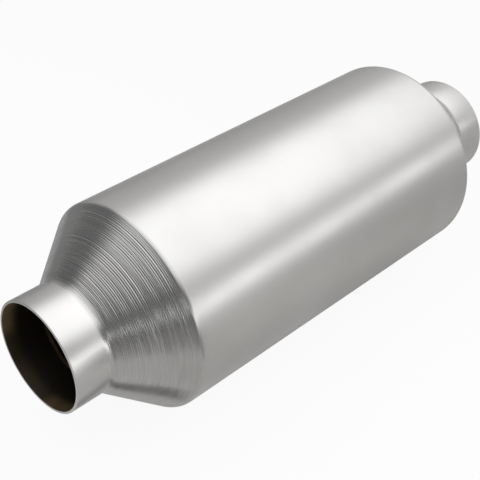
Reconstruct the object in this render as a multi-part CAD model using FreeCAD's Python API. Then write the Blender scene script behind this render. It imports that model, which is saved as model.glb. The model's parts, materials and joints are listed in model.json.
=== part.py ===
# Round in-line catalytic converter. The shell is one steel tube whose two ends are spun down
# into cones and necks. Inside it two ceramic honeycomb bricks sit one behind the other, each
# wrapped in a fibre mat, and a knitted wire ring guards the edge of each mat that the gas meets.
# The origin is the centre of the inlet's end face, +X runs along the axis the way the gas
# flows, and +Z is up. Sizes are in millimetres and degrees.

import FreeCAD, Part
import math
import os

# Pipe connection at each end
pipe_diameter = 63.5
pipe_clearance = 0.1
neck_wall = 1.65
neck_length = 23.4
neck_blend_radius = 7.0
rim_chamfer = 0.3

# Spun cone between each neck and the body
cone_length = 36.0
shoulder_blend_radius = 4.0

# Body and what it holds
body_wall = 1.5
brick_diameter = 118.4
brick_length = 101.6
brick_gap = 12.7
brick_setback = 10.45
mat_thickness = 2.8
mat_inset = 4.0

# Honeycomb of a brick
cell_pitch = 10.8
cell_web = 1.2
brick_skin = 1.3
smallest_cell_share = 0.45

# Mat joint, where the two ends of the wrap lock together
mat_joint_gap = 0.6
mat_tongue_length = 24.0
mat_joint_angle = 60.0

# Knitted wire ring upstream of each mat
seal_width = 6.0
seal_inset = 1.5
seal_joint_gap = 1.2

# Sizes that follow from the ones above
neck_bore_radius = pipe_diameter / 2 + pipe_clearance
neck_radius = neck_bore_radius + neck_wall
brick_radius = brick_diameter / 2
body_bore_radius = brick_radius + mat_thickness
body_radius = body_bore_radius + body_wall
body_length = 2 * brick_length + brick_gap + 2 * brick_setback
shoulder_x = neck_length + cone_length
overall_length = 2 * shoulder_x + body_length
front_brick_x = shoulder_x + brick_setback
rear_brick_x = front_brick_x + brick_length + brick_gap
cone_angle = math.atan2(body_radius - neck_radius, cone_length)

AXIS_POINT = FreeCAD.Vector(0, 0, 0)
AXIS = FreeCAD.Vector(1, 0, 0)
FULL_TURN = 360.0


def at(x, radius):
    """A point of a profile: x along the axis, radius above it."""
    return FreeCAD.Vector(x, 0, radius)


def blended_outline(corners):
    """Closed outline through (x, radius, blend) corners, rounded to that radius where it isn't 0."""
    edges = []
    stops = []
    for i, (x, radius, blend) in enumerate(corners):
        corner = at(x, radius)
        if not blend:
            stops.append((corner, corner))
            continue
        back = (at(*corners[i - 1][:2]) - corner).normalize()
        ahead = (at(*corners[(i + 1) % len(corners)][:2]) - corner).normalize()
        half_angle = back.getAngle(ahead) / 2
        middle = (back + ahead).normalize()
        reach = blend / math.tan(half_angle)
        nearest = corner + middle * (blend / math.sin(half_angle) - blend)
        start = corner + back * reach
        end = corner + ahead * reach
        edges.append(Part.Arc(start, nearest, end).toBSpline().toShape())
        stops.append((start, end))
    for here, there in zip(stops, stops[1:] + stops[:1]):
        edges.append(Part.LineSegment(here[1], there[0]).toShape())
    return Part.Wire(Part.__sortEdges__(edges))


def turned(outline):
    """Solid of revolution of a closed outline about the converter's axis."""
    return Part.Face(outline).revolve(AXIS_POINT, AXIS, FULL_TURN)


def mirrored(half_profile):
    """The outlet's half of a profile that is given for the inlet's half."""
    return [(overall_length - x, radius, blend) for x, radius, blend in reversed(half_profile)]


def make_shell():
    """Tube spun in at both ends. Its wall thickens along each cone, from the body to the neck."""
    lean = math.tan(cone_angle / 2)
    outside = [
        (0, neck_radius - rim_chamfer, 0),
        (rim_chamfer, neck_radius, 0),
        (neck_length, neck_radius, neck_blend_radius),
        (shoulder_x, body_radius, shoulder_blend_radius),
    ]
    inside = [
        (0, neck_bore_radius, 0),
        (neck_length + neck_wall * lean, neck_bore_radius, 0),
        (shoulder_x + body_wall * lean, body_bore_radius, 0),
    ]
    round_trip = outside + mirrored(outside) + list(reversed(inside + mirrored(inside)))
    return turned(blended_outline(round_trip))


def ring_sector(inner_radius, outer_radius, start_x, width, start_angle, sweep):
    """Part of a ring about the axis, from start_angle over sweep degrees."""
    section = Part.makePolygon(
        [
            at(start_x, inner_radius),
            at(start_x + width, inner_radius),
            at(start_x + width, outer_radius),
            at(start_x, outer_radius),
            at(start_x, inner_radius),
        ]
    )
    section.rotate(AXIS_POINT, AXIS, start_angle)
    return Part.Face(section).revolve(AXIS_POINT, AXIS, sweep)


def cell_outlines(start_x):
    """Outlines of the square cells, and of the cut ones that the round skin leaves at the rim."""
    open_radius = brick_radius - brick_skin
    cell = cell_pitch - cell_web
    open_disc = Part.Face(Part.Wire(Part.makeCircle(open_radius, at(start_x, 0), AXIS)))
    rows = math.ceil(open_radius / cell_pitch)
    centres = [(i + 0.5) * cell_pitch for i in range(-rows, rows)]
    outlines = []
    for y in centres:
        for z in centres:
            sides = [(y + a * cell / 2, z + b * cell / 2) for a, b in ((-1, -1), (1, -1), (1, 1), (-1, 1))]
            distances = [math.hypot(*side) for side in sides]
            square = Part.makePolygon([FreeCAD.Vector(start_x, *side) for side in sides + sides[:1]])
            if max(distances) <= open_radius:
                outlines.append(square)
            elif min(distances) < open_radius:
                cut_cell = Part.Face(square).common(open_disc)
                if cut_cell.Area > smallest_cell_share * cell**2:
                    outlines.append(cut_cell.Faces[0].OuterWire)
    return outlines


def make_brick(start_x):
    """Extruded ceramic honeycomb: a round skin round a grid of thin webs, open from end to end."""
    rim = Part.Wire(Part.makeCircle(brick_radius, at(start_x, 0), AXIS))
    end_face = Part.Face(rim)
    end_face = end_face.cut(Part.Compound([Part.Face(outline) for outline in cell_outlines(start_x)]))
    return end_face.Faces[0].extrude(AXIS * brick_length)


def make_mat(brick_x):
    """Fibre mat wrapped once round a brick. Its ends meet in a tongue and groove."""
    start_x = brick_x + seal_inset + seal_width
    width = brick_length - seal_inset - seal_width - mat_inset
    middle_radius = brick_radius + mat_thickness / 2
    gap_sweep = math.degrees(mat_joint_gap / middle_radius)
    tongue_sweep = math.degrees(mat_tongue_length / middle_radius)
    tongue_x = start_x + width / 3
    far_tongue_x = start_x + width * 2 / 3

    def slit(slit_x, slit_width, from_angle, sweep):
        return ring_sector(
            brick_radius, body_bore_radius, slit_x, slit_width, mat_joint_angle + from_angle, sweep
        )

    joint = [
        slit(start_x, tongue_x - start_x, 0, gap_sweep),
        slit(tongue_x, mat_joint_gap, 0, tongue_sweep + gap_sweep),
        slit(tongue_x, far_tongue_x - tongue_x, tongue_sweep, gap_sweep),
        slit(far_tongue_x - mat_joint_gap, mat_joint_gap, 0, tongue_sweep + gap_sweep),
        slit(far_tongue_x - mat_joint_gap, start_x + width - far_tongue_x + mat_joint_gap, 0, gap_sweep),
    ]
    wrap = ring_sector(brick_radius, body_bore_radius, start_x, width, 0, FULL_TURN)
    return wrap.cut(joint).Solids[0]


def make_seal(start_x):
    """Ring of knitted wire rope, pressed square between brick and shell, with its ends butted."""
    gap_sweep = math.degrees(seal_joint_gap / body_bore_radius)
    return ring_sector(
        brick_radius, body_bore_radius, start_x, seal_width, mat_joint_angle, FULL_TURN - gap_sweep
    )


def make_pieces():
    """Every piece of the converter, by name."""
    pieces = {"shell": make_shell()}
    for place, brick_x in (("front", front_brick_x), ("rear", rear_brick_x)):
        pieces[f"{place}_brick"] = make_brick(brick_x)
        pieces[f"{place}_mat"] = make_mat(brick_x)
        pieces[f"{place}_mat_seal"] = make_seal(brick_x + seal_inset)
    return pieces


os.makedirs("parts", exist_ok=True)
for name, piece in make_pieces().items():
    piece.exportStep(f"parts/{name}.step")
    print(name, "solids", len(piece.Solids), "volume", round(piece.Volume), "valid", piece.isValid())
print("overall length", round(overall_length, 2), "body diameter", round(2 * body_radius, 2))
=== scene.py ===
# %% [markdown]
# # A round catalytic converter
#
# The real thing is a stainless steel tube with its two ends spun down into cones and plain
# necks. Two ceramic honeycombs sit inside, each wrapped in a fibre mat, and a ring of knitted
# wire guards the edge of each mat. The CAD model is the frame: it gives every size and place
# in metres, with +X along the tube, and the scene adds the finish that a CAD solid can't hold.

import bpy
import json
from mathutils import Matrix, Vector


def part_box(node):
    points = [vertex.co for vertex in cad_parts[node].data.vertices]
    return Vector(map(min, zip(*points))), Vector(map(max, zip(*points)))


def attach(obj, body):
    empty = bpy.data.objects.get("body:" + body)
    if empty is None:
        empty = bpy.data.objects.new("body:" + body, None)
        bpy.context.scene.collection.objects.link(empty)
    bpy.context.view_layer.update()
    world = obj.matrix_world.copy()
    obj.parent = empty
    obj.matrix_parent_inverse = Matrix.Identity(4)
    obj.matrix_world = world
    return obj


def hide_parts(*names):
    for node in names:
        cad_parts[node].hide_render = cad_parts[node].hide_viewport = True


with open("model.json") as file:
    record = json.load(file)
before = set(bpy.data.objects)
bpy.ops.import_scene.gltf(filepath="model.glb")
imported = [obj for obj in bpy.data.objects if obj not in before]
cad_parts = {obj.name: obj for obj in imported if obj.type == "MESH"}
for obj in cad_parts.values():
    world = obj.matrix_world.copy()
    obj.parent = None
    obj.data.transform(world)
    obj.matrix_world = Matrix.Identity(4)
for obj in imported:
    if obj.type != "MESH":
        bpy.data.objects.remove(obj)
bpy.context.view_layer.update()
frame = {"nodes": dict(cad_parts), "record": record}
print("CAD nodes", sorted(frame["nodes"]))

# %% Modules
import bmesh
import bpy
import json
import math
import random

from mathutils import Matrix, Vector

# %% [markdown]
# ## Sizes
#
# What the frame can tell is read from it, so the scene follows the CAD model. The few sizes
# that it can't tell are written here in millimetres, as a maker would write them on a drawing.

# %% Sizes of the converter
MM = 0.001
record = frame["record"]
shell_low, shell_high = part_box("shell")
overall_length = shell_high.x - shell_low.x
body_radius = shell_high.z
neck_bore_radius = record["mounts"][0]["dims"]["r_mm"] * MM
neck_wall = 1.65 * MM
body_wall = 1.5 * MM
neck_radius = neck_bore_radius + neck_wall
body_bore_radius = body_radius - body_wall
neck_length = 23.4 * MM
cone_length = 36.0 * MM
shoulder_x = neck_length + cone_length
cone_rise = body_radius - neck_radius
cone_angle = math.atan2(cone_rise, cone_length)
AXIS = Vector((1, 0, 0))
ORIGIN = Vector((0, 0, 0))
print("length", round(overall_length, 4), "body radius", round(body_radius, 4))

# %% [markdown]
# ## Camera
#
# The photo is taken from above one end, with a long lens, so that the tube's far end looks
# nearly as wide as its near end. The heading is measured from +X, and the elevation is how far
# the camera looks down. Both were found by fitting the outline of the CAD model to the photo.

# %% Camera at the photo's angle
camera_heading = 44.935
camera_elevation = 35.145
camera_place = Vector((-0.20691, -0.35575, 0.35542))

camera_data = bpy.data.cameras.new("photo_camera")
camera_data.sensor_width = 36.0
camera_data.lens = 76.03
camera = bpy.data.objects.new("photo_camera", camera_data)
camera.location = camera_place
camera.rotation_euler = (
    math.radians(90 - camera_elevation),
    0,
    math.radians(camera_heading - 90),
)
bpy.context.scene.collection.objects.link(camera)
bpy.context.scene.camera = camera
bpy.context.scene.view_settings.view_transform = "Standard"
print("camera", tuple(round(v, 3) for v in camera.location))

# %% [markdown]
# ## Helpers for nodes
#
# Every finish here is a small tree of shader nodes. One helper adds a node, sets its values
# and plugs in its inputs, so that each finish can be read from top to bottom.


# %% Helpers for nodes
def add_node(tree, kind, inputs=None, **settings):
    """A new node of that kind. An input is a plain value, or another node's output socket."""
    node = tree.nodes.new(kind)
    for name, value in settings.items():
        setattr(node, name, value)
    for key, value in (inputs or {}).items():
        if isinstance(value, bpy.types.NodeSocket):
            tree.links.new(value, node.inputs[key])
        else:
            node.inputs[key].default_value = value
    return node


def stretched_noise(tree, stretch, detail=2.0, place=None):
    """Noise on Object coordinates, with that many grains to the metre along X, Y and Z."""
    if place is None:
        place = add_node(tree, "ShaderNodeTexCoord").outputs["Object"]
    scaled = add_node(tree, "ShaderNodeVectorMath", {0: place, 1: stretch}, operation="MULTIPLY")
    inputs = {"Vector": scaled.outputs[0], "Scale": 1.0, "Detail": detail}
    return add_node(tree, "ShaderNodeTexNoise", inputs).outputs["Fac"]


def remap(tree, value, low, high, new_low=0.0, new_high=1.0, smooth=False):
    """The value, moved from the range low to high into the range new_low to new_high."""
    kind = "SMOOTHSTEP" if smooth else "LINEAR"
    inputs = {"Value": value, 1: low, 2: high, 3: new_low, 4: new_high}
    return add_node(tree, "ShaderNodeMapRange", inputs, interpolation_type=kind).outputs[0]


def combine(tree, operation, first, second):
    """Two values put together by one step of arithmetic."""
    return add_node(tree, "ShaderNodeMath", {0: first, 1: second}, operation=operation).outputs[0]


def mix_colours(tree, share, first, second):
    """A colour that goes from the first to the second as share goes from 0 to 1."""
    inputs = {"Factor": share, 6: first, 7: second}
    return add_node(tree, "ShaderNodeMix", inputs, data_type="RGBA").outputs[2]


def new_material(name):
    """An empty material with its Principled shader, ready for inputs."""
    material = bpy.data.materials.new(name)
    material.use_nodes = True
    return material, material.node_tree, material.node_tree.nodes["Principled BSDF"]


# %% [markdown]
# ## Floor
#
# A pale matt floor, as in a small studio. The body lies on it, and it is large enough to reach
# the horizon in a low view. It is painted a little darker towards the tube's far end, because
# bare steel mirrors it.

# %% Floor
floor_near_colour = (0.58, 0.573, 0.56, 1)
floor_far_colour = (0.42, 0.415, 0.405, 1)
floor_fade = (0.2, 0.45)
floor_half_width = 12.0

floor_mesh = bmesh.new()
bmesh.ops.create_grid(floor_mesh, x_segments=1, y_segments=1, size=floor_half_width)
bmesh.ops.translate(floor_mesh, verts=floor_mesh.verts, vec=(overall_length / 2, 0, -body_radius))
floor_data = bpy.data.meshes.new("floor")
floor_mesh.to_mesh(floor_data)
floor_mesh.free()
floor = bpy.data.objects.new("floor", floor_data)
bpy.context.scene.collection.objects.link(floor)
floor_material, floor_tree, floor_shader = new_material("floor_paint")
floor_place = add_node(floor_tree, "ShaderNodeTexCoord").outputs["Object"]
floor_place = add_node(floor_tree, "ShaderNodeSeparateXYZ", {0: floor_place}).outputs
far_share = remap(floor_tree, floor_place["X"], *floor_fade, smooth=True)
floor_paint = mix_colours(floor_tree, far_share, floor_near_colour, floor_far_colour)
floor_tree.links.new(floor_paint, floor_shader.inputs["Base Color"])
floor_shader.inputs["Roughness"].default_value = 0.9
floor_shader.inputs["Specular IOR Level"].default_value = 0.1
floor_data.materials.append(floor_material)
print("floor at z", round(-body_radius, 4))

# %% [markdown]
# ### A white background
#
# The picture has a nearly white background, and more light on the tube would be the wrong way to
# get it. Instead the floor glows where the camera looks at it, and a little of its paint is kept,
# which holds the tube's faint shadow. The same is done in mirror images, so that the steel shows a
# whiter floor in two places, under the tube and past its far end. Elsewhere it mirrors little
# more than the paint.

# %% White floor
white_seen = 0.93
white_mirrored = 0.08
white_under_ends = (0.45, 0.12)
under_tube_length = (0.03, 0.26)
under_tube_edge = (0.05, 0.09)
white_beyond = (0.45, 0.65)
beyond_middle = 0.05
beyond_edge = (0.12, 0.22)

rays = add_node(floor_tree, "ShaderNodeLightPath").outputs
mirrored = combine(floor_tree, "MAXIMUM", rays["Is Glossy Ray"], rays["Is Transmission Ray"])
off_axis = combine(floor_tree, "ABSOLUTE", floor_place["Y"], 0.0)
under_tube = remap(floor_tree, floor_place["X"], *under_tube_length, *white_under_ends)
bounced = remap(floor_tree, off_axis, *under_tube_edge, under_tube, white_mirrored, smooth=True)
beyond = remap(floor_tree, floor_place["X"], *white_beyond, smooth=True)
off_beyond = combine(floor_tree, "SUBTRACT", floor_place["Y"], beyond_middle)
off_beyond = combine(floor_tree, "ABSOLUTE", off_beyond, 0.0)
beyond_side = remap(floor_tree, off_beyond, *beyond_edge, 1.0, 0.0, smooth=True)
beyond = combine(floor_tree, "MULTIPLY", beyond, beyond_side)
bounced = combine(floor_tree, "MAXIMUM", bounced, beyond)
mirrored = combine(floor_tree, "MULTIPLY", mirrored, bounced)
seen = combine(floor_tree, "MULTIPLY", rays["Is Camera Ray"], white_seen)
white_share = combine(floor_tree, "MAXIMUM", seen, mirrored)
white = add_node(floor_tree, "ShaderNodeEmission", {"Color": (1, 1, 1, 1), "Strength": 1.0})
inputs = {0: white_share, 1: floor_shader.outputs[0], 2: white.outputs[0]}
floor_look = add_node(floor_tree, "ShaderNodeMixShader", inputs)
floor_tree.links.new(floor_look.outputs[0], floor_tree.nodes["Material Output"].inputs["Surface"])
print("floor nodes", len(floor_tree.nodes))

# %% [markdown]
# ## Studio light
#
# Bare metal shows what stands round it. A very large softbox hangs level over the tube and makes
# the broad bright band along the top. Real softboxes are brightest in the middle, so this one is
# five panels of shrinking size, one under the other, and its edge fades. Each is given by its two
# ends, because the softbox reaches further past the tube's far end than past the near one. A low
# strip light beside the tube draws the second, narrow band. It is tipped up towards the far end.
# A small lamp adds a highlight to the near cone. All of them are very slightly cool.


# %% Lamps
lamp_colour = (0.985, 0.995, 1.015)


def add_panel(name, place, target, width, height, brightness):
    """A flat lamp that faces the target. A brightness of 1 looks white in a mirror."""
    lamp = bpy.data.lights.new(name, "AREA")
    lamp.shape = "RECTANGLE"
    lamp.size = width
    lamp.size_y = height
    lamp.energy = brightness * math.pi * width * height
    lamp.color = lamp_colour
    panel = bpy.data.objects.new(name, lamp)
    panel.location = place
    panel.rotation_euler = (target - place).to_track_quat("-Z", "Y").to_euler()
    panel.visible_camera = False
    bpy.context.scene.collection.objects.link(panel)
    return panel


softbox_y = -0.22
softbox_height = 1.0
softbox_layers = (
    (-1.33, 2.17, 2.4),
    (-1.03, 1.92, 2.0),
    (-0.78, 1.78, 1.72),
    (-0.6, 1.65, 1.5),
    (-0.3, 1.09, 1.24),
)
softbox_brightness = 1.45
layer_gap = 0.01
for number, (near_end, far_end, depth) in enumerate(softbox_layers):
    layer_place = Vector(((near_end + far_end) / 2, softbox_y, softbox_height - layer_gap * number))
    layer_target = layer_place - Vector((0, 0, 1))
    layer_share = softbox_brightness / len(softbox_layers)
    add_panel(f"softbox_{number}", layer_place, layer_target, far_end - near_end, depth, layer_share)

strip_place = Vector((1.049, -0.971, 0.235))
strip_target = Vector((1.299, -0.171, 0.055))
strip_length = 2.35
strip_height = 0.19
strip_brightness = 2.55
strip_roll = math.radians(10.5)
strip = add_panel("strip_light", strip_place, strip_target, strip_length, strip_height, strip_brightness)
strip.rotation_euler.rotate_axis("Z", strip_roll)

cone_light_place = Vector((-0.41, -0.64, 0.14))
cone_light_target = Vector((0.04, -0.04, 0.04))
cone_light_length = 0.5
cone_light_height = 0.08
cone_light_brightness = 1.5
add_panel(
    "cone_light",
    cone_light_place,
    cone_light_target,
    cone_light_length,
    cone_light_height,
    cone_light_brightness,
)

# %% [markdown]
# ### Grey cards
#
# Burnished rings mirror anything pale that stands near them. A photographer darkens such a
# mirror image with a grey card. Two cards stand here, in front of the near cone and behind it,
# and two lie just over the floor beside them. Where a card would be too dark there is a net, which
# covers only part of what is behind it: two small ones lie under the cone, and one hangs beside
# the neck. They show in mirror images alone: they throw no shadow and the camera passes through.
# They are placed for the camera's view, and from another side one may show as a soft grey mark.


# %% Cards
def add_card(name, place, turn, tilt, width, height, grey, cover=1.0):
    """A card, or a net that covers less, turned from +X, tilted up and seen in mirror images alone."""
    half_side = 0.5
    mesh = bmesh.new()
    bmesh.ops.create_grid(mesh, x_segments=1, y_segments=1, size=half_side)
    bmesh.ops.scale(mesh, verts=mesh.verts, vec=(width, height, 1))
    tilted = Matrix.Rotation(math.radians(tilt), 3, "X")
    turned = Matrix.Rotation(math.radians(turn), 3, "Z")
    bmesh.ops.rotate(mesh, verts=mesh.verts, cent=ORIGIN, matrix=turned @ tilted)
    bmesh.ops.translate(mesh, verts=mesh.verts, vec=place)
    data = bpy.data.meshes.new(name)
    mesh.to_mesh(data)
    mesh.free()
    material, _, shader = new_material(name)
    shader.inputs["Base Color"].default_value = (grey, grey, grey, 1)
    shader.inputs["Roughness"].default_value = 0.9
    shader.inputs["Alpha"].default_value = cover
    data.materials.append(material)
    card = bpy.data.objects.new(name, data)
    card.visible_camera = False
    card.visible_diffuse = False
    card.visible_shadow = False
    bpy.context.scene.collection.objects.link(card)
    print(name, "grey", grey, "cover", cover)


standing = 90
lying = 0
beside_cone = -32

near_place = Vector((-0.36, -0.3, -0.005))
far_place = Vector((0.06, 0.4, 0.0))
add_card("near_card", near_place, turn=130, tilt=standing, width=0.75, height=0.12, grey=0.2)
add_card("far_card", far_place, turn=-8, tilt=standing, width=0.4, height=0.127, grey=0.42)

near_low_place = Vector((-0.16, -0.29, -0.061))
far_low_place = Vector((0.08, 0.25, -0.061))
add_card("near_low_card", near_low_place, turn=0, tilt=lying, width=0.28, height=0.3, grey=0.28)
add_card("far_low_card", far_low_place, turn=0, tilt=lying, width=0.4, height=0.3, grey=0.42)

cone_place = Vector((0.021, -0.0338, -0.062))
shoulder_place = Vector((0.0412, -0.0468, -0.062))
neck_place = Vector((0.063, -0.13, -0.012))
add_card("under_cone_card", cone_place, beside_cone, lying, 0.023, 0.017, grey=0.02, cover=0.65)
add_card("under_shoulder_card", shoulder_place, beside_cone, lying, 0.024, 0.017, grey=0.02, cover=0.6)
add_card("neck_net", neck_place, 0, standing, 0.056, 0.064, grey=0.3, cover=0.6)

# %% [markdown]
# ### Room
#
# The walls and ceiling are mirrored too. The room is dim behind the camera, which keeps the near
# cone dark, lighter past the far end and overhead, and white straight past the far end. The
# camera itself sees a nearly white wall where the floor ends.

# %% Room light
room_dim = (0.22, 0.22, 0.225, 1)
room_low = (0.66, 0.66, 0.665, 1)
room_high = (0.85, 0.85, 0.855, 1)
room_end = (1.0, 1.0, 1.005, 1)
room_seen = (0.975, 0.975, 0.975, 1)
far_fade = (-0.4, 0.6)
overhead_fade = (0.1, 0.6)
end_fade = (0.8, 0.92)

world = bpy.data.worlds.new("studio_room")
world.use_nodes = True
bpy.context.scene.world = world
room = world.node_tree
direction = add_node(room, "ShaderNodeTexCoord").outputs["Generated"]
direction = add_node(room, "ShaderNodeSeparateXYZ", {0: direction}).outputs
far_side = remap(room, direction["X"], *far_fade, smooth=True)
overhead = remap(room, direction["Z"], *overhead_fade, smooth=True)
room_wall = mix_colours(room, overhead, room_low, room_high)
room_colour = mix_colours(room, far_side, room_dim, room_wall)
past_end = remap(room, direction["X"], *end_fade, smooth=True)
room_colour = mix_colours(room, past_end, room_colour, room_end)
camera_ray = add_node(room, "ShaderNodeLightPath").outputs["Is Camera Ray"]
room_look = mix_colours(room, camera_ray, room_colour, room_seen)
room.links.new(room_look, room.nodes["Background"].inputs["Color"])
print("room nodes", len(room.nodes))

# %% [markdown]
# ## Spun steel
#
# The tube is satin all over, with a faint grain along it from the mill. Where the spinning
# roller worked, from just before each cone to the body, it left rings. The deep ones are real
# geometry, further down, and the finest are bump: many fine rings, with coarser and more broken
# ones among them. Their troughs are painted darker, as painted shade. The necks are a little
# brighter. Effects that several finishes use are node groups: rings that run round the tube,
# and the soft smudges that handling leaves on bare steel. A third group masks the cones.


# %% Shared effects
def new_effect(name, values, result="Mask"):
    """An empty node group with named values as inputs and one output."""
    group = bpy.data.node_groups.new(name, "ShaderNodeTree")
    for label, default in values.items():
        socket = group.interface.new_socket(label, in_out="INPUT", socket_type="NodeSocketFloat")
        socket.default_value = default
    group.interface.new_socket(result, in_out="OUTPUT", socket_type="NodeSocketFloat")
    entry = group.nodes.new("NodeGroupInput")
    leave = group.nodes.new("NodeGroupOutput")
    return group, entry, leave


def use_effect(tree, group, values):
    """The group's output, placed in a material with its own values."""
    return add_node(tree, "ShaderNodeGroup", values, node_tree=group).outputs[0]


def make_ring_effect():
    """Fine rings round the tube's axis. Each is broken and fades along its way round."""
    group, entry, leave = new_effect("lathe_rings", {"Rings per metre": 1500.0, "Breaks": 25.0})
    place = add_node(group, "ShaderNodeTexCoord").outputs["Object"]
    breaks = entry.outputs["Breaks"]
    inputs = {"X": entry.outputs["Rings per metre"], "Y": breaks, "Z": breaks}
    stretch = add_node(group, "ShaderNodeCombineXYZ", inputs).outputs[0]
    rings = stretched_noise(group, stretch, 3.0, place)
    group.links.new(remap(group, rings, 0.35, 0.65), leave.inputs[0])
    return group


def make_smudge_effect():
    """Large soft patches, a little finer inside, as fingers and cloths leave on bare steel."""
    group, entry, leave = new_effect("smudges", {"Patches per metre": 22.0})
    place = add_node(group, "ShaderNodeTexCoord").outputs["Object"]
    inputs = {"Vector": place, "Scale": entry.outputs["Patches per metre"], "Detail": 4.0}
    patches = add_node(group, "ShaderNodeTexNoise", inputs).outputs["Fac"]
    group.links.new(remap(group, patches, 0.3, 0.7, smooth=True), leave.inputs[0])
    return group


def from_nearer_end(tree):
    """How far along the axis a point is from the nearer end of the tube."""
    place = add_node(tree, "ShaderNodeTexCoord").outputs["Object"]
    from_inlet = add_node(tree, "ShaderNodeSeparateXYZ", {0: place}).outputs["X"]
    from_outlet = combine(tree, "SUBTRACT", overall_length, from_inlet)
    return combine(tree, "MINIMUM", from_inlet, from_outlet)


rings_before_cone = 2.0 * MM


def make_cone_effect():
    """A mask of the two spun cones and the last of each neck, where the roller came in."""
    group, entry, leave = new_effect("spun_zone", {"Fade": 1.0 * MM})
    from_end = from_nearer_end(group)
    fade = entry.outputs["Fade"]
    rings_start = neck_length - rings_before_cone
    past_neck = combine(group, "DIVIDE", combine(group, "SUBTRACT", from_end, rings_start), fade)
    before_body = combine(group, "DIVIDE", combine(group, "SUBTRACT", shoulder_x, from_end), fade)
    zone = combine(group, "MINIMUM", past_neck, before_body)
    group.links.new(remap(group, zone, -1.0, 1.0, smooth=True), leave.inputs[0])
    return group


lathe_rings = make_ring_effect()
smudges = make_smudge_effect()
spun_zone = make_cone_effect()
print("effects", [g.name for g in bpy.data.node_groups])


# %% Outside finish
def make_spun_steel():
    """Satin stainless steel, with fine rings on the cones and a faint mill grain elsewhere. The rings'
    troughs are painted darker: painted shade.
    """
    material, tree, shader = new_material("spun_steel")
    cones = use_effect(tree, spun_zone, {"Fade": 1.2 * MM})
    fine_rings = use_effect(tree, lathe_rings, {"Rings per metre": 1900.0, "Breaks": 40.0})
    handling = use_effect(tree, smudges, {"Patches per metre": 22.0})
    mill_grain = stretched_noise(tree, (30.0, 2500.0, 2500.0), 2.0)

    clean_steel = (0.455, 0.449, 0.438, 1)
    worn_steel = (0.43, 0.423, 0.41, 1)
    satin = mix_colours(tree, handling, clean_steel, worn_steel)
    # Painted shade: the troughs of the fine rings on the cones are painted darker.
    painted_groove_shade = (0.3, 0.295, 0.285, 1)
    deepest_painted_shade = 0.4
    ring_share = remap(tree, fine_rings, 0.0, 1.0, deepest_painted_shade, 0.0)
    ring_share = combine(tree, "MULTIPLY", cones, ring_share)
    colour = mix_colours(tree, ring_share, satin, painted_groove_shade)
    neck_steel = (0.49, 0.483, 0.471, 1)
    neck_fade = 3.0 * MM
    necks = remap(tree, from_nearer_end(tree), neck_length, neck_length - neck_fade, smooth=True)
    colour = mix_colours(tree, necks, colour, neck_steel)
    tree.links.new(colour, shader.inputs["Base Color"])

    clean_roughness = 0.31
    worn_roughness = 0.35
    cone_polish = -0.1
    satin_roughness = remap(tree, handling, 0.0, 1.0, clean_roughness, worn_roughness)
    roughness = combine(tree, "ADD", satin_roughness, combine(tree, "MULTIPLY", cones, cone_polish))
    tree.links.new(roughness, shader.inputs["Roughness"])

    grain_on_satin = 0.12
    broken_ring_share = 2.5
    grain_share = remap(tree, cones, 0.0, 1.0, grain_on_satin, 0.0)
    grain_height = combine(tree, "MULTIPLY", mill_grain, grain_share)
    broken_rings = use_effect(tree, lathe_rings, {"Rings per metre": 900.0, "Breaks": 80.0})
    broken_height = combine(tree, "MULTIPLY", broken_rings, broken_ring_share)
    ring_height = combine(tree, "ADD", fine_rings, broken_height)
    ring_height = combine(tree, "MULTIPLY", ring_height, cones)
    height = combine(tree, "ADD", grain_height, ring_height)
    inputs = {"Height": height, "Strength": 0.5, "Distance": 0.026 * MM}
    bump = add_node(tree, "ShaderNodeBump", inputs)
    tree.links.new(bump.outputs[0], shader.inputs["Normal"])
    shader.inputs["Metallic"].default_value = 1.0
    return material


spun_steel = make_spun_steel()
print(spun_steel.name, "nodes", len(spun_steel.node_tree.nodes))


# %% [markdown]
# The bore is never polished. Scale and oil from spinning leave it nearly black. Near each mouth
# it is brown in patches, most of all on one upper side and at the bottom: partly a brown tint of
# the steel and partly painted light, where light falls in at the mouth. A short brown glint is
# painted where the neck opens into the cone. It is mostly matt, so little of it mirrors the room.


# %% Inside finish
def reach_towards(tree, degrees):
    """How far a point lies from the axis on the side at that angle, from +Y towards +Z."""
    place = add_node(tree, "ShaderNodeTexCoord").outputs["Object"]
    side = (0, math.cos(math.radians(degrees)), math.sin(math.radians(degrees)))
    reach = add_node(tree, "ShaderNodeVectorMath", {0: place, 1: side}, operation="DOT_PRODUCT")
    return reach.outputs["Value"]


# Sides and depth of the brown patches at the lip, which are partly painted light.
upper_side = 40
upper_reach = (18.0 * MM, 28.0 * MM)
lower_side = -115
lower_reach = (26.0 * MM, 31.0 * MM)
lip_fade = (3.0 * MM, 11.0 * MM)
# The streak is a painted glint: brown, where the neck opens into the cone.
streak_side = -44
streak_reach = (28.0 * MM, 31.0 * MM)
streak_past_neck = 2.5 * MM
streak_fade = (0.4 * MM, 2.4 * MM)


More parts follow.
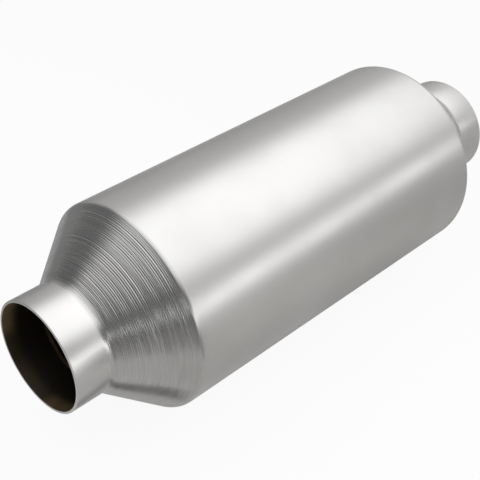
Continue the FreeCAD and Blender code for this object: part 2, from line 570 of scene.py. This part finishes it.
def make_browned_steel():
    """Blackened inner wall, brown in patches near each mouth, partly painted light, and a painted brown
    glint where the neck opens into the cone.
    """
    material, tree, shader = new_material("browned_steel")
    from_end = from_nearer_end(tree)
    stains = use_effect(tree, smudges, {"Patches per metre": 45.0})

    # Near each mouth the brown patches are partly the steel's tint and partly painted light, fading to
    # black deeper in.
    blackened = (0.013, 0.011, 0.007, 1)
    tinted_and_lit_brown = (0.17, 0.118, 0.056, 1)
    painted_glint = (0.4, 0.26, 0.12, 1)
    lip = remap(tree, from_end, *lip_fade, 1.0, 0.0, smooth=True)
    upper = remap(tree, reach_towards(tree, upper_side), *upper_reach, 0.2, 1.0, smooth=True)
    lower = remap(tree, reach_towards(tree, lower_side), *lower_reach, smooth=True)
    patches = combine(tree, "MULTIPLY", lip, combine(tree, "MAXIMUM", upper, lower))
    patches = combine(tree, "MULTIPLY", patches, remap(tree, stains, 0.0, 1.0, 0.55, 1.0))
    colour = mix_colours(tree, patches, blackened, tinted_and_lit_brown)

    # Painted glint: a short brown line where the neck opens into the cone.
    from_line = combine(tree, "SUBTRACT", from_end, neck_length + streak_past_neck)
    from_line = combine(tree, "ABSOLUTE", from_line, 0.0)
    painted_glint_line = remap(tree, from_line, *streak_fade, 1.0, 0.0, smooth=True)
    streak = remap(tree, reach_towards(tree, streak_side), *streak_reach, smooth=True)
    painted_glint_line = combine(tree, "MULTIPLY", painted_glint_line, streak)
    colour = mix_colours(tree, painted_glint_line, colour, painted_glint)
    tree.links.new(colour, shader.inputs["Base Color"])

    tree.links.new(remap(tree, stains, 0.0, 1.0, 0.45, 0.6), shader.inputs["Roughness"])
    rings = use_effect(tree, lathe_rings, {"Rings per metre": 900.0, "Breaks": 20.0})
    bump = add_node(tree, "ShaderNodeBump", {"Height": rings, "Strength": 0.4, "Distance": 0.05 * MM})
    tree.links.new(bump.outputs[0], shader.inputs["Normal"])
    shader.inputs["Metallic"].default_value = 0.4
    shader.inputs["Specular IOR Level"].default_value = 0.25
    return material


browned_steel = make_browned_steel()
print(browned_steel.name, "nodes", len(browned_steel.node_tree.nodes))

# %% [markdown]
# ## Shell
#
# A spun shell is a solid of revolution, so it starts as half of its section: one closed outline
# above the axis, whose corners are rounded with bevel, and which spin turns once round. The
# roller feeds along each cone as the tube turns, so the rings it leaves differ in depth and
# spacing. Their outline is put on the cone's edge of the section before it is spun, which costs
# far fewer faces than sculpting a finished cone.


# %% Section of the shell
rim_round = 0.3 * MM
neck_blend = 7.0 * MM
shoulder_blend = 4.0 * MM
bore_blend = 2.0 * MM


def round_corner(section, corner, radius, segments):
    """Rounds one corner of a flat outline to that radius."""
    before, after = (edge.other_vert(corner).co - corner.co for edge in corner.link_edges)
    turn = math.pi - before.angle(after)
    reach = radius * math.tan(turn / 2)
    bmesh.ops.bevel(
        section,
        geom=[corner],
        offset=reach,
        offset_type="OFFSET",
        segments=segments,
        profile=0.5,
        affect="VERTICES",
        material=-1,
    )


def shell_section():
    """Half of the shell's section as one flat face. A corner is x, radius, blend and segments."""
    lean = math.tan(cone_angle / 2)
    outside = [
        (0.0, neck_radius, rim_round, 3),
        (neck_length, neck_radius, neck_blend, 8),
        (shoulder_x, body_radius, shoulder_blend, 8),
    ]
    inside = [
        (0.0, neck_bore_radius, rim_round, 3),
        (neck_length + neck_wall * lean, neck_bore_radius, bore_blend, 4),
        (shoulder_x + body_wall * lean, body_bore_radius, shoulder_blend, 6),
    ]
    far_outside = [(overall_length - x, *rest) for x, *rest in reversed(outside)]
    far_inside = [(overall_length - x, *rest) for x, *rest in reversed(inside)]
    outline = outside + far_outside + list(reversed(inside + far_inside))
    section = bmesh.new()
    corners = [section.verts.new((x, 0, radius)) for x, radius, *_ in outline]
    section.faces.new(corners)
    for corner, (_, _, blend, segments) in zip(corners, outline):
        round_corner(section, corner, blend, segments)
    return section


# %% [markdown]
# ### Spinning grooves
#
# Each groove is a shallow dip. Its width, its depth as a share of that width and its distance
# from the last are drawn from a seeded random source, so the rings bunch and thin out as on the
# real cone, and every run is the same.


# %% Grooves on the cones
groove_spacing = (0.7 * MM, 1.5 * MM)
groove_depth_share = (0.06, 0.14)
groove_step = 0.22 * MM
next_groove_share = (0.85, 1.0)
groove_seed = 7


def groove_outline(length, chance):
    """Depth below the cone's own line at even steps along it, for one pass of the roller."""
    steps = int(length / groove_step)
    depths = [0.0] * (steps - 1)
    start = 0.0
    while start < length:
        width = chance.uniform(*groove_spacing)
        depth = width * chance.uniform(*groove_depth_share)
        for i in range(steps - 1):
            share = ((i + 1) * length / steps - start) / width
            if 0 < share < 1:
                depths[i] += depth * math.sin(math.pi * share) ** 2
        start += width * chance.uniform(*next_groove_share)
    return depths


def cut_grooves(section, chance):
    """Cuts the grooves into the cone's edge of the section, at both ends."""
    cone_middle = Vector((neck_length + cone_length / 2, 0, (neck_radius + body_radius) / 2))
    for end, middle_x in ((1, cone_middle.x), (-1, overall_length - cone_middle.x)):
        middle = Vector((middle_x, 0, cone_middle.z))
        edge = min(section.edges, key=lambda e: ((e.verts[0].co + e.verts[1].co) / 2 - middle).length)
        inward = Vector((end * math.sin(cone_angle), 0, -math.cos(cone_angle)))
        depths = groove_outline(edge.calc_length(), chance)
        made = bmesh.ops.subdivide_edges(section, edges=[edge], cuts=len(depths))
        dots = [part for part in made["geom_inner"] if isinstance(part, bmesh.types.BMVert)]
        dots.sort(key=lambda dot: end * dot.co.x)
        for dot, depth in zip(dots, depths):
            dot.co += inward * depth
        print("groove dots", len(dots), "deepest", round(max(depths) / MM, 3), "mm")


# %% Spin the shell
turn_steps = 192
weld_distance = 0.001 * MM
looks_inwards = -0.2


def new_piece(name, mesh, materials, crease=35.0):
    """Makes an object of a finished mesh, shades it smooth but for sharp edges, and mounts it."""
    data = bpy.data.meshes.new(name)
    mesh.to_mesh(data)
    mesh.free()
    for material in materials:
        data.materials.append(material)
    data.shade_smooth()
    data.set_sharp_from_angle(angle=math.radians(crease))
    piece = bpy.data.objects.new(name, data)
    bpy.context.scene.collection.objects.link(piece)
    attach(piece, "root")
    data.calc_loop_triangles()
    print(name, "triangles", len(data.loop_triangles))
    return piece


def spun_round(section, steps):
    """The section turned once round the tube's axis, closed, with its faces pointing outwards."""
    bmesh.ops.delete(section, geom=section.faces[:], context="FACES_ONLY")
    bmesh.ops.spin(
        section,
        geom=section.verts[:] + section.edges[:],
        cent=ORIGIN,
        axis=AXIS,
        angle=math.tau,
        steps=steps,
        use_merge=True,
    )
    bmesh.ops.remove_doubles(section, verts=section.verts, dist=weld_distance)
    bmesh.ops.recalc_face_normals(section, faces=section.faces)
    return section


def paint_bore(mesh):
    """Gives the second material to the faces that look at the axis."""
    for face in mesh.faces:
        middle = face.calc_center_median()
        outwards = Vector((0, middle.y, middle.z)).normalized()
        if face.normal.dot(outwards) < looks_inwards:
            face.material_index = 1


shell_mesh = shell_section()
cut_grooves(shell_mesh, random.Random(groove_seed))
spun_round(shell_mesh, turn_steps)
paint_bore(shell_mesh)
shell = new_piece("spun_shell", shell_mesh, [spun_steel, browned_steel])
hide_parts("shell")

# %% [markdown]
# ## Honeycomb bricks
#
# Each brick is extruded from one clay, with 62 square cells to the square centimetre, and the
# cells here have that true pitch. One end face starts as a grid. The squares that reach outside
# the round are deleted, inset leaves a thin web round every cell, and triangles join the ragged
# edge of the grid to the round rim. Extruding this pierced face once makes the skin and the
# walls of all the cells, so the brick is open from end to end.


# %% Ceramic finish
def make_honeycomb_ceramic():
    """Matt tan ceramic, with a paler washcoat in patches and faint lines along the extrusion."""
    material, tree, shader = new_material("honeycomb_ceramic")
    patches = use_effect(tree, smudges, {"Patches per metre": 38.0})
    drawn_lines = stretched_noise(tree, (60.0, 900.0, 900.0), 2.0)
    clay = mix_colours(tree, patches, (0.62, 0.49, 0.35, 1), (0.5, 0.38, 0.26, 1))
    line_share = remap(tree, drawn_lines, 0.35, 0.65, 0.0, 0.4)
    colour = mix_colours(tree, line_share, clay, (0.72, 0.62, 0.48, 1))
    tree.links.new(colour, shader.inputs["Base Color"])
    tree.links.new(remap(tree, patches, 0.0, 1.0, 0.8, 0.92), shader.inputs["Roughness"])
    pores = stretched_noise(tree, (4000.0, 4000.0, 4000.0), 3.0)
    bump = add_node(tree, "ShaderNodeBump", {"Height": pores, "Strength": 0.5, "Distance": 0.03 * MM})
    tree.links.new(bump.outputs[0], shader.inputs["Normal"])
    return material


honeycomb_ceramic = make_honeycomb_ceramic()
print(honeycomb_ceramic.name, "nodes", len(honeycomb_ceramic.node_tree.nodes))

# %% Pierced end face
cell_pitch = 1.27 * MM
cell_web = 0.17 * MM
brick_skin = 1.2 * MM


def pierced_face(radius):
    """A round face at x = 0 with a square hole for each cell."""
    rows = 2 * math.ceil(radius / cell_pitch)
    face = bmesh.new()
    bmesh.ops.create_grid(face, x_segments=rows, y_segments=rows, size=rows * cell_pitch / 2)
    outside = [vert for vert in face.verts if vert.co.length > radius - brick_skin]
    bmesh.ops.delete(face, geom=outside, context="VERTS")
    loose = [vert for vert in face.verts if not vert.link_faces]
    bmesh.ops.delete(face, geom=loose, context="VERTS")
    cells = face.faces[:]
    ragged_edge = [edge for edge in face.edges if edge.is_boundary]
    rim = bmesh.ops.create_circle(face, segments=turn_steps, radius=radius)["verts"]
    rim_edges = list({edge for vert in rim for edge in vert.link_edges})
    bmesh.ops.triangle_fill(face, use_beauty=True, use_dissolve=False, edges=ragged_edge + rim_edges)
    bmesh.ops.inset_individual(face, faces=cells, thickness=cell_web / 2, use_even_offset=True)
    print("cells", len(cells), "wide", round(cells[0].edges[0].calc_length() / MM, 2), "mm")
    bmesh.ops.delete(face, geom=cells, context="FACES_ONLY")
    upright = Matrix.Rotation(math.pi / 2, 3, "Y")
    bmesh.ops.rotate(face, verts=face.verts, cent=ORIGIN, matrix=upright)
    return face


# %% Bricks
def thickened(mesh, offset):
    """The open mesh given a second side that far off, with walls round its outline and holes."""
    moved = bmesh.ops.extrude_face_region(mesh, geom=mesh.faces[:])["geom"]
    far_side = [part for part in moved if isinstance(part, bmesh.types.BMVert)]
    bmesh.ops.translate(mesh, verts=far_side, vec=offset)
    bmesh.ops.recalc_face_normals(mesh, faces=mesh.faces)
    print("open edges", sum(not edge.is_manifold for edge in mesh.edges))


for place in ("front", "rear"):
    low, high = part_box(f"{place}_brick")
    brick_mesh = pierced_face(high.z)
    thickened(brick_mesh, AXIS * (high.x - low.x))
    bmesh.ops.translate(brick_mesh, verts=brick_mesh.verts, vec=AXIS * low.x)
    name = f"{place}_honeycomb"
    brick = new_piece(name, brick_mesh, [honeycomb_ceramic], crease=25.0)
    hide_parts(f"{place}_brick")

# %% [markdown]
# ## Fibre mats
#
# A mat is felted from ceramic fibre, with flakes of a mineral that swells when it first gets hot
# and grips the brick for good. It is cut flat, with a tongue at one end and a groove at the
# other, and then wrapped round. The piece is made the same way: a strip whose ends are extruded
# into tongue and groove, given its thickness, sliced so that it can bend, and rolled up.


# %% Felt finish
def make_felted_fibre():
    """Off-white felt with fine matted fibres and small golden flakes."""
    material, tree, shader = new_material("felted_fibre")
    matting = stretched_noise(tree, (900.0, 900.0, 900.0), 4.0)
    clumps = use_effect(tree, smudges, {"Patches per metre": 160.0})
    felt = mix_colours(tree, clumps, (0.79, 0.77, 0.71, 1), (0.68, 0.65, 0.57, 1))
    place = add_node(tree, "ShaderNodeTexCoord").outputs["Object"]
    grains = add_node(tree, "ShaderNodeTexVoronoi", {"Vector": place, "Scale": 450.0})
    grain_chance = add_node(tree, "ShaderNodeSeparateColor", {0: grains.outputs["Color"]}).outputs[0]
    chosen = remap(tree, grain_chance, 0.72, 0.74)
    core = remap(tree, grains.outputs["Distance"], 0.45, 0.3)
    flake = combine(tree, "MULTIPLY", chosen, core)
    colour = mix_colours(tree, flake, felt, (0.42, 0.29, 0.13, 1))
    tree.links.new(colour, shader.inputs["Base Color"])
    tree.links.new(remap(tree, flake, 0.0, 1.0, 0.95, 0.55), shader.inputs["Roughness"])
    height = combine(tree, "ADD", matting, combine(tree, "MULTIPLY", flake, 0.3))
    bump = add_node(tree, "ShaderNodeBump", {"Height": height, "Strength": 0.7, "Distance": 0.25 * MM})
    tree.links.new(bump.outputs[0], shader.inputs["Normal"])
    return material


felted_fibre = make_felted_fibre()
print(felted_fibre.name, "nodes", len(felted_fibre.node_tree.nodes))

# %% Mat cut flat
wrap_start = math.radians(60)
mat_joint_gap = 0.6 * MM
mat_tongue_length = 24.0 * MM
mat_edge_radius = 0.5 * MM
same_place = 0.01 * MM


def grow_edges(strip, edges, step):
    """Extrudes edges of a flat strip by that step."""
    grown = bmesh.ops.extrude_edge_only(strip, edges=edges)["geom"]
    verts = [part for part in grown if isinstance(part, bmesh.types.BMVert)]
    bmesh.ops.translate(strip, verts=verts, vec=step)
    return verts


def flat_mat(width, wrap, thickness):
    """The mat as it is cut. Its width lies along X, and Y runs the way that it is wrapped."""
    body_start = mat_tongue_length + mat_joint_gap
    strip = bmesh.new()
    bmesh.ops.create_grid(strip, x_segments=3, y_segments=1, size=0.5)
    bmesh.ops.scale(strip, verts=strip.verts, vec=(width, wrap - body_start, 1))
    middle = Vector((width / 2, (wrap + body_start) / 2, 0))
    bmesh.ops.translate(strip, verts=strip.verts, vec=middle)

    def ends_at(y, on_middle):
        """Edges of the strip's end at y, either the middle one or the two beside it."""
        across = [e for e in strip.edges if all(abs(v.co.y - y) < same_place for v in e.verts)]
        offsets = [abs((e.verts[0].co.x + e.verts[1].co.x) / 2 - width / 2) for e in across]
        return [e for e, offset in zip(across, offsets) if (offset < width / 6) == on_middle]

    grow_edges(strip, ends_at(body_start, False), Vector((0, -mat_tongue_length, 0)))
    shoulder = grow_edges(strip, ends_at(wrap, True), Vector((0, mat_joint_gap, 0)))
    for vert in shoulder:
        vert.co.x += math.copysign(mat_joint_gap, width / 2 - vert.co.x)
    tongue = Vector((0, mat_tongue_length - mat_joint_gap, 0))
    grow_edges(strip, ends_at(wrap + mat_joint_gap, True), tongue)
    thickened(strip, Vector((0, 0, thickness)))
    sharp = [edge for edge in strip.edges if edge.calc_face_angle(0) > math.radians(60)]
    bmesh.ops.bevel(
        strip,
        geom=sharp,
        offset=mat_edge_radius,
        offset_type="OFFSET",
        segments=2,
        profile=0.5,
        affect="EDGES",
        material=-1,
    )
    return strip


# %% Slice and roll up
slice_length = 2.0 * MM


def slice_across(mesh):
    """Cuts a flat piece across its length at even steps, so that it can bend."""
    low_y = min(vert.co.y for vert in mesh.verts)
    high_y = max(vert.co.y for vert in mesh.verts)
    for number in range(1, int((high_y - low_y) / slice_length) + 1):
        cut_place = Vector((0, low_y + number * slice_length, 0))
        everything = mesh.verts[:] + mesh.edges[:] + mesh.faces[:]
        bmesh.ops.bisect_plane(mesh, geom=everything, plane_co=cut_place, plane_no=(0, 1, 0))


def roll_up(mesh, inner_radius, middle_radius):
    """Rolls a flat piece round the tube's axis. Y becomes the way round, and Z the radius."""
    for vert in mesh.verts:
        angle = wrap_start + vert.co.y / middle_radius
        radius = inner_radius + vert.co.z
        vert.co = Vector((vert.co.x, -radius * math.sin(angle), radius * math.cos(angle)))
    bmesh.ops.recalc_face_normals(mesh, faces=mesh.faces)


for place in ("front", "rear"):
    low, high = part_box(f"{place}_mat")
    brick_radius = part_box(f"{place}_brick")[1].z
    middle_radius = (brick_radius + body_bore_radius) / 2
    wrap = math.tau * middle_radius
    mat_mesh = flat_mat(high.x - low.x, wrap, body_bore_radius - brick_radius)
    slice_across(mat_mesh)
    roll_up(mat_mesh, brick_radius, middle_radius)
    bmesh.ops.translate(mat_mesh, verts=mat_mesh.verts, vec=AXIS * low.x)
    mat = new_piece(f"{place}_wrapped_mat", mat_mesh, [felted_fibre])
    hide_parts(f"{place}_mat")

# %% [markdown]
# ## Knitted wire rings
#
# The ring that guards each mat is a rope of knitted wire, pressed into a square section and
# butted at its ends. Each wire here is a thin round section that spin carries along a helix,
# with a step forward for every turn. Half of the wires run the other way round, a wire's
# thickness further in, so that they cross. The rope is then pressed square and rolled up.


# %% Wire finish
def make_knitted_wire():
    """Fine stainless wire, with some strands duller than others."""
    material, tree, shader = new_material("knitted_wire")
    dulling = use_effect(tree, smudges, {"Patches per metre": 300.0})
    colour = mix_colours(tree, dulling, (0.5, 0.49, 0.47, 1), (0.33, 0.32, 0.3, 1))
    tree.links.new(colour, shader.inputs["Base Color"])
    tree.links.new(remap(tree, dulling, 0.0, 1.0, 0.28, 0.45), shader.inputs["Roughness"])
    shader.inputs["Metallic"].default_value = 1.0
    return material


knitted_wire = make_knitted_wire()
print(knitted_wire.name, "nodes", len(knitted_wire.node_tree.nodes))

# %% Knitted rope
wire_radius = 0.13 * MM
wires_each_way = 8
wire_lead = 11.0 * MM
steps_a_turn = 14
butt_gap = 1.2 * MM
squareness = 0.75


def helical_wire(radius, length, hand):
    """One wire along Y, wound round the rope. It is right-handed for a hand of 1."""
    turns = length / wire_lead
    steps = round(turns * steps_a_turn)
    wire = bmesh.new()
    bmesh.ops.create_circle(wire, cap_ends=True, segments=5, radius=wire_radius)
    along = Vector((0, wire_lead / math.tau, -hand * radius)).to_track_quat("Z", "Y").to_matrix()
    bmesh.ops.rotate(wire, verts=wire.verts, cent=ORIGIN, matrix=along)
    bmesh.ops.translate(wire, verts=wire.verts, vec=(radius, 0, 0))
    bmesh.ops.spin(
        wire,
        geom=wire.faces[:],
        cent=ORIGIN,
        axis=(0, 1, 0),
        dvec=(0, length / steps, 0),
        angle=hand * math.tau * turns,
        steps=steps,
    )
    return wire


def knitted_rope(width, thickness, length):
    """A straight rope of crossing wires, pressed to that width along X and thickness along Z."""
    rope = bmesh.new()
    outer_radius = width / 2 - wire_radius
    next_wire = Matrix.Rotation(math.tau / wires_each_way, 4, "Y")
    for hand, radius in ((1, outer_radius), (-1, outer_radius - 2 * wire_radius)):
        wire = helical_wire(radius, length, hand)
        wire_data = bpy.data.meshes.new("one_wire")
        wire.to_mesh(wire_data)
        wire.free()
        for _ in range(wires_each_way):
            rope.from_mesh(wire_data)
            wire_data.transform(next_wire)
        bpy.data.meshes.remove(wire_data)
    for vert in rope.verts:
        across, up = vert.co.x / (width / 2), vert.co.z / (width / 2)
        squared = (math.hypot(across, up) / max(abs(across), abs(up))) ** squareness
        across = max(-1, min(1, across * squared))
        up = max(-1, min(1, up * squared))
        vert.co.x = (across + 1) * width / 2
        vert.co.z = (up + 1) * thickness / 2
    return rope


for place in ("front", "rear"):
    low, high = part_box(f"{place}_mat_seal")
    brick_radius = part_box(f"{place}_brick")[1].z
    middle_radius = (brick_radius + body_bore_radius) / 2
    length = math.tau * middle_radius - butt_gap
    ring_mesh = knitted_rope(high.x - low.x, body_bore_radius - brick_radius, length)
    for vert in ring_mesh.verts:
        vert.co.y = max(0, min(length, vert.co.y))
    roll_up(ring_mesh, brick_radius, middle_radius)
    bmesh.ops.translate(ring_mesh, verts=ring_mesh.verts, vec=AXIS * low.x)
    name = f"{place}_knitted_ring"
    ring = new_piece(name, ring_mesh, [knitted_wire], crease=60.0)
    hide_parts(f"{place}_mat_seal")
